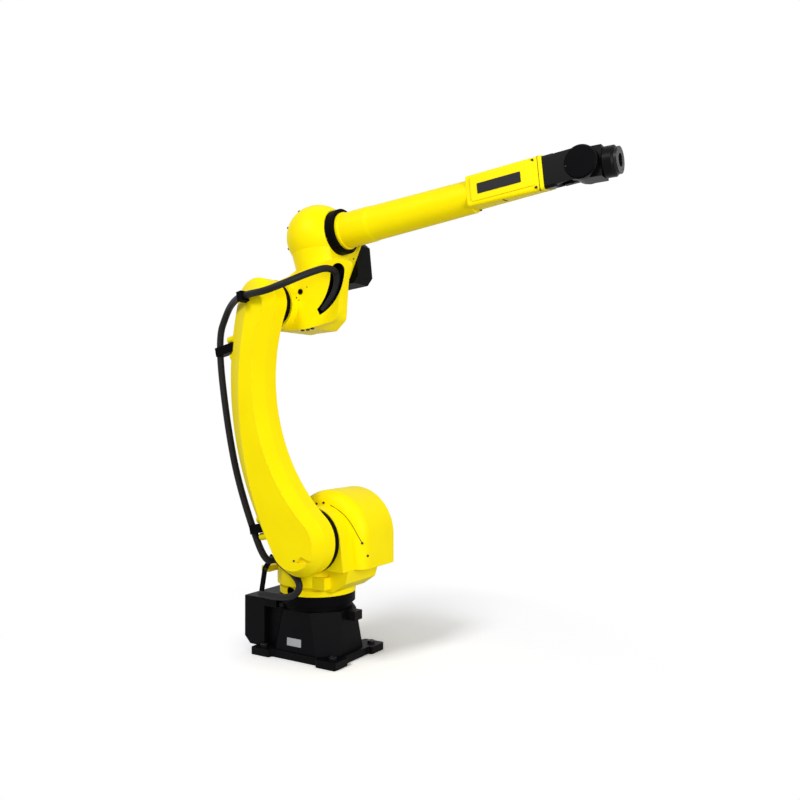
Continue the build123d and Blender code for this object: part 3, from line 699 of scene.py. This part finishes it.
def arc_points(first, middle, last, count):
    """Even steps along the arc through three points of a side view."""
    centre = arc_centre(first, middle, last)
    spoke = Vector(first) - centre
    sweep = -spoke.angle_signed(Vector(last) - centre)
    return [centre + Matrix.Rotation(sweep * step / count, 2) @ spoke for step in range(count + 1)]


def slot_loop(inset):
    """Outline of the elbow's slot, drawn in by a wall thickness."""
    centre = arc_centre(*SLOT_MIDDLE)
    spots = arc_points(*SLOT_MIDDLE, 2)
    spots[2] = centre + Matrix.Rotation(inset / (spots[2] - centre).length, 2) @ (spots[2] - centre)
    edges = []
    for side in (1, -1):
        edge = []
        for spot, width in zip(spots, SLOT_WIDTHS):
            edge.append(spot + (spot - centre).normalized() * (width / 2 - inset) * side)
        edges.append(arc_points(*edge, SLOT_STEPS))
    outer, inner = edges
    spoke = (spots[0] - centre).normalized()
    crown = spots[0] + Vector((-spoke.y, spoke.x)) * (SLOT_CROWN - inset)
    return arc_points(inner[0], crown, outer[0], CROWN_STEPS) + outer[1:] + inner[:0:-1]


def port_loop(inset):
    """Outline of the turret's port, drawn in by a wall thickness."""
    spoke = Vector((PORT_RADIUS - inset, 0.0))
    turns = [Matrix.Rotation(math.tau * step / PORT_SIDES, 2) for step in range(PORT_SIDES)]
    return [Vector(PORT_MIDDLE) + turn @ spoke for turn in turns]


def shade_tray_mesh(side, loop, floor, rim):
    """A thin dark tray of painted shade that lines a pocket: outer wall, rim, inner wall and floor."""
    outer = loop(TRAY_GAP)
    inner = loop(TRAY_GAP + TRAY_WALL)
    build = bmesh.new()
    rings = []
    for edge, out in ((outer, floor), (outer, rim), (inner, rim), (inner, floor + TRAY_FLOOR)):
        rings.append([build.verts.new(place(side, spot.x, spot.y, out)) for spot in edge])
    join_rings(build, rings)
    build.faces.new(rings[0])
    build.faces.new(rings[-1])
    bmesh.ops.recalc_face_normals(build, faces=build.faces)
    return mesh_from(build, "tray")


class ARM_OT_painted_shade(bpy.types.Operator):
    """Puts dark nylon trays in the elbow's slot and the turret's port, as painted shade of their hollows"""

    bl_idname = "arm.linings"
    bl_label = "Shade trays"

    def execute(self, context):
        # Painted shade: a dark tray that darkens the slot around the hose's end
        slot = shade_tray_mesh(ELBOW_SIDE, slot_loop, *SLOT_SHADE_TRAY)
        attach(mesh_piece("slot_shade_tray", slot, "black_nylon"), "elbow_link")
        # Painted shade: a dark tray that darkens the hollow of the port
        port = shade_tray_mesh(FLOOR_SIDE, port_loop, *PORT_SHADE_TRAY)
        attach(mesh_piece("port_shade_tray", port, "black_nylon"), "turret")
        return {"FINISHED"}


# Line of the bead between the hood and the shoulder boss, on the turret's side view in millimetres
HOOD_SEAM = [(24, 115), (70, 97), (109, 63), (131, 32), (149, -2), (151.4, -8.5)]
HOOD_SEAM_SIDES = 8
# Outline of the seal at the forearm's nose, seen from the front, and its place, corner and thickness
NOSE_SEAM = [(54.4, -55.9), (54.4, 54.4), (-54.4, 54.4), (-54.4, -28.5), (-10, -42.6)]
NOSE_PLACE = (1012, 0, 0)
NOSE_CORNER = 9
NOSE_THICKNESS = 1.5


class ARM_OT_seams(bpy.types.Operator):
    """Lays the sealing beads of the hood and the forearm's nose"""

    bl_idname = "arm.seams"
    bl_label = "Seams"

    def execute(self, context):
        line = smooth_line([Vector((ahead, up, 0.0)) * MM for ahead, up in HOOD_SEAM])
        path = [on_hood(spot.x / MM, spot.y / MM)[0] for spot in line]
        bead = tube_mesh(path, context.scene.arm_sizes.seam_radius, HOOD_SEAM_SIDES)
        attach(mesh_piece("hood_seam", bead, "black_nylon"), "turret")
        across = Matrix((OUT, FORE_UP, -FORE_AHEAD)).transposed().to_4x4()
        across.translation = place(FORE_SIDE, *NOSE_PLACE)
        seal = plate_from(across, NOSE_SEAM, NOSE_THICKNESS * MM, NOSE_CORNER)
        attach(mesh_piece("nose_seam", seal, "black_nylon"), "forearm_link")
        return {"FINISHED"}


# Floor: half its width, where it turns white, its colour for the light that it throws back, and its colour as
# it is seen, which is above one so that the lit floor is white and only the shadow shows
FLOOR_REACH = 40.0
FADE_START = 0.5
FADE_END = 1.25
FLOOR_BOUNCE = "#E6E6E6"
FLOOR_SEEN = (1.68, 1.69, 1.75, 1.0)
# Lamps: place, and width of the disk, all aimed at the arm's middle
ARM_MIDDLE = Vector((0.35, 0.0, 0.9))
KEY_PLACE = Vector((-0.45, -3.0, 3.5))
KEY_WIDTH = 1.2
FRONT_PLACE = Vector((3.8, -1.6, 1.8))
FRONT_WIDTH = 2.2
# Camera that was fitted to the photograph
CAMERA_PLACE = Vector((1.802, -2.329, 0.879))
CAMERA_TARGET = Vector((0.18763, 0.25778, 0.90803))
CAMERA_LENS = 36.44
CAMERA_SENSOR = 36.0
CAMERA_REACH = 200.0


def seen_rays(tree):
    """One for rays that show the background: to the camera, in a gloss or through something clear."""
    ray = add(tree, "ShaderNodeLightPath").outputs
    bent = add(
        tree, "ShaderNodeMath", {0: ray["Is Glossy Ray"], 1: ray["Is Transmission Ray"]}, operation="MAXIMUM")
    seen = add(tree, "ShaderNodeMath", {0: ray["Is Camera Ray"], 1: bent.outputs[0]}, operation="MAXIMUM")
    return seen.outputs[0]


def white_floor():
    """Pale floor that keeps the shadow near the arm and turns to plain white away from it."""
    material = bpy.data.materials.new("studio_floor")
    material.use_nodes = True
    tree = material.node_tree
    tree.nodes.clear()
    where = add(tree, "ShaderNodeTexCoord").outputs["Object"]
    far = add(tree, "ShaderNodeVectorMath", {0: where}, operation="LENGTH")
    fade = add(
        tree, "ShaderNodeMapRange",
        {"Value": far.outputs["Value"], "From Min": FADE_START, "From Max": FADE_END})
    seen = seen_rays(tree)
    share = add(tree, "ShaderNodeMath", {0: fade.outputs["Result"], 1: seen}, operation="MULTIPLY")
    shade = add(
        tree, "ShaderNodeMix",
        {"Factor": seen, FIRST_COLOUR: linear(FLOOR_BOUNCE), SECOND_COLOUR: FLOOR_SEEN}, data_type="RGBA")
    matt = add(tree, "ShaderNodeBsdfDiffuse", {"Color": shade.outputs[MIXED_COLOUR]})
    glow = add(tree, "ShaderNodeEmission", {"Color": WHITE, "Strength": 1.0})
    mix = add(tree, "ShaderNodeMixShader", {0: share.outputs[0], 1: matt.outputs[0], 2: glow.outputs[0]})
    add(tree, "ShaderNodeOutputMaterial", {"Surface": mix.outputs[0]})
    return material


def white_room(strength):
    """World that is white where it is seen and lights the arm evenly at a given strength."""
    world = bpy.data.worlds.new("studio_room")
    world.use_nodes = True
    tree = world.node_tree
    tree.nodes.clear()
    level = add(tree, "ShaderNodeMapRange", {"Value": seen_rays(tree), "To Min": strength, "To Max": 1.0})
    sky = add(tree, "ShaderNodeBackground", {"Color": WHITE, "Strength": level.outputs["Result"]})
    add(tree, "ShaderNodeOutputWorld", {"Surface": sky.outputs[0]})
    return world


def aim(holder, target):
    """Turns a lamp or camera towards a point."""
    holder.rotation_euler = (target - holder.location).to_track_quat("-Z", "Y").to_euler()


def soft_lamp(name, spot, width, power):
    """A round soft lamp that is aimed at the arm's middle."""
    lamp = bpy.data.lights.new(name, "AREA")
    lamp.shape = "DISK"
    lamp.size = width
    lamp.energy = power
    holder = bpy.data.objects.new(name, lamp)
    holder.location = spot
    aim(holder, ARM_MIDDLE)
    bpy.context.scene.collection.objects.link(holder)
    return holder


class ARM_OT_stage(bpy.types.Operator):
    """Sets the floor, the light and the camera"""

    bl_idname = "arm.stage"
    bl_label = "Stage"

    def execute(self, context):
        scene = context.scene
        settings = scene.arm_stage
        scene.view_settings.view_transform = "Standard"
        build = bmesh.new()
        bmesh.ops.create_grid(build, x_segments=1, y_segments=1, size=FLOOR_REACH)
        mesh = mesh_from(build, "floor")
        mesh.materials.append(white_floor())
        floor = bpy.data.objects.new("floor", mesh)
        scene.collection.objects.link(floor)
        scene.world = white_room(settings.world_strength)
        soft_lamp("key_lamp", KEY_PLACE, KEY_WIDTH, settings.key_power)
        front = soft_lamp("front_lamp", FRONT_PLACE, FRONT_WIDTH, settings.front_power)
        # The front lamp leaves the floor alone, so that one shadow falls there, from the key lamp
        unlit = bpy.data.collections.new("unlit_by_front_lamp")
        unlit.objects.link(floor)
        unlit.collection_objects[0].light_linking.link_state = "EXCLUDE"
        front.light_linking.receiver_collection = unlit
        camera = bpy.data.cameras.new("camera")
        camera.lens = CAMERA_LENS
        camera.sensor_width = CAMERA_SENSOR
        camera.clip_end = CAMERA_REACH
        holder = bpy.data.objects.new("camera", camera)
        holder.location = CAMERA_PLACE
        aim(holder, CAMERA_TARGET)
        scene.collection.objects.link(holder)
        scene.camera = holder
        return {"FINISHED"}


class ARM_PT_panel(bpy.types.Panel):
    """Lists the steps that dress the arm"""

    bl_label = "Six-axis arm"
    bl_idname = "ARM_PT_panel"
    bl_space_type = "VIEW_3D"
    bl_region_type = "UI"
    bl_category = "Arm"

    def draw(self, context):
        for step in STEPS:
            self.layout.operator(step.bl_idname)


STEPS = (
    ARM_OT_stage, ARM_OT_finishes, ARM_OT_hose, ARM_OT_screws, ARM_OT_plates, ARM_OT_painted_shade, ARM_OT_seams)
GROUPS = (("arm_sizes", ArmSizes), ("arm_colours", ArmColours), ("arm_stage", StageSettings))


def register():
    """Registers the settings, the steps and the panel."""
    for name, group in GROUPS:
        bpy.utils.register_class(group)
        setattr(bpy.types.Scene, name, bpy.props.PointerProperty(type=group))
    for step in STEPS:
        bpy.utils.register_class(step)
    bpy.utils.register_class(ARM_PT_panel)


def unregister():
    """Takes back what register added."""
    bpy.utils.unregister_class(ARM_PT_panel)
    for step in reversed(STEPS):
        bpy.utils.unregister_class(step)
    for name, group in reversed(GROUPS):
        delattr(bpy.types.Scene, name)
        bpy.utils.unregister_class(group)


def main():
    """Dresses the arm step by step."""
    register()
    bpy.ops.arm.stage()
    bpy.ops.arm.finishes()
    bpy.ops.arm.hose()
    bpy.ops.arm.screws()
    bpy.ops.arm.plates()
    bpy.ops.arm.linings()
    bpy.ops.arm.seams()


if __name__ == "__main__":
    main()
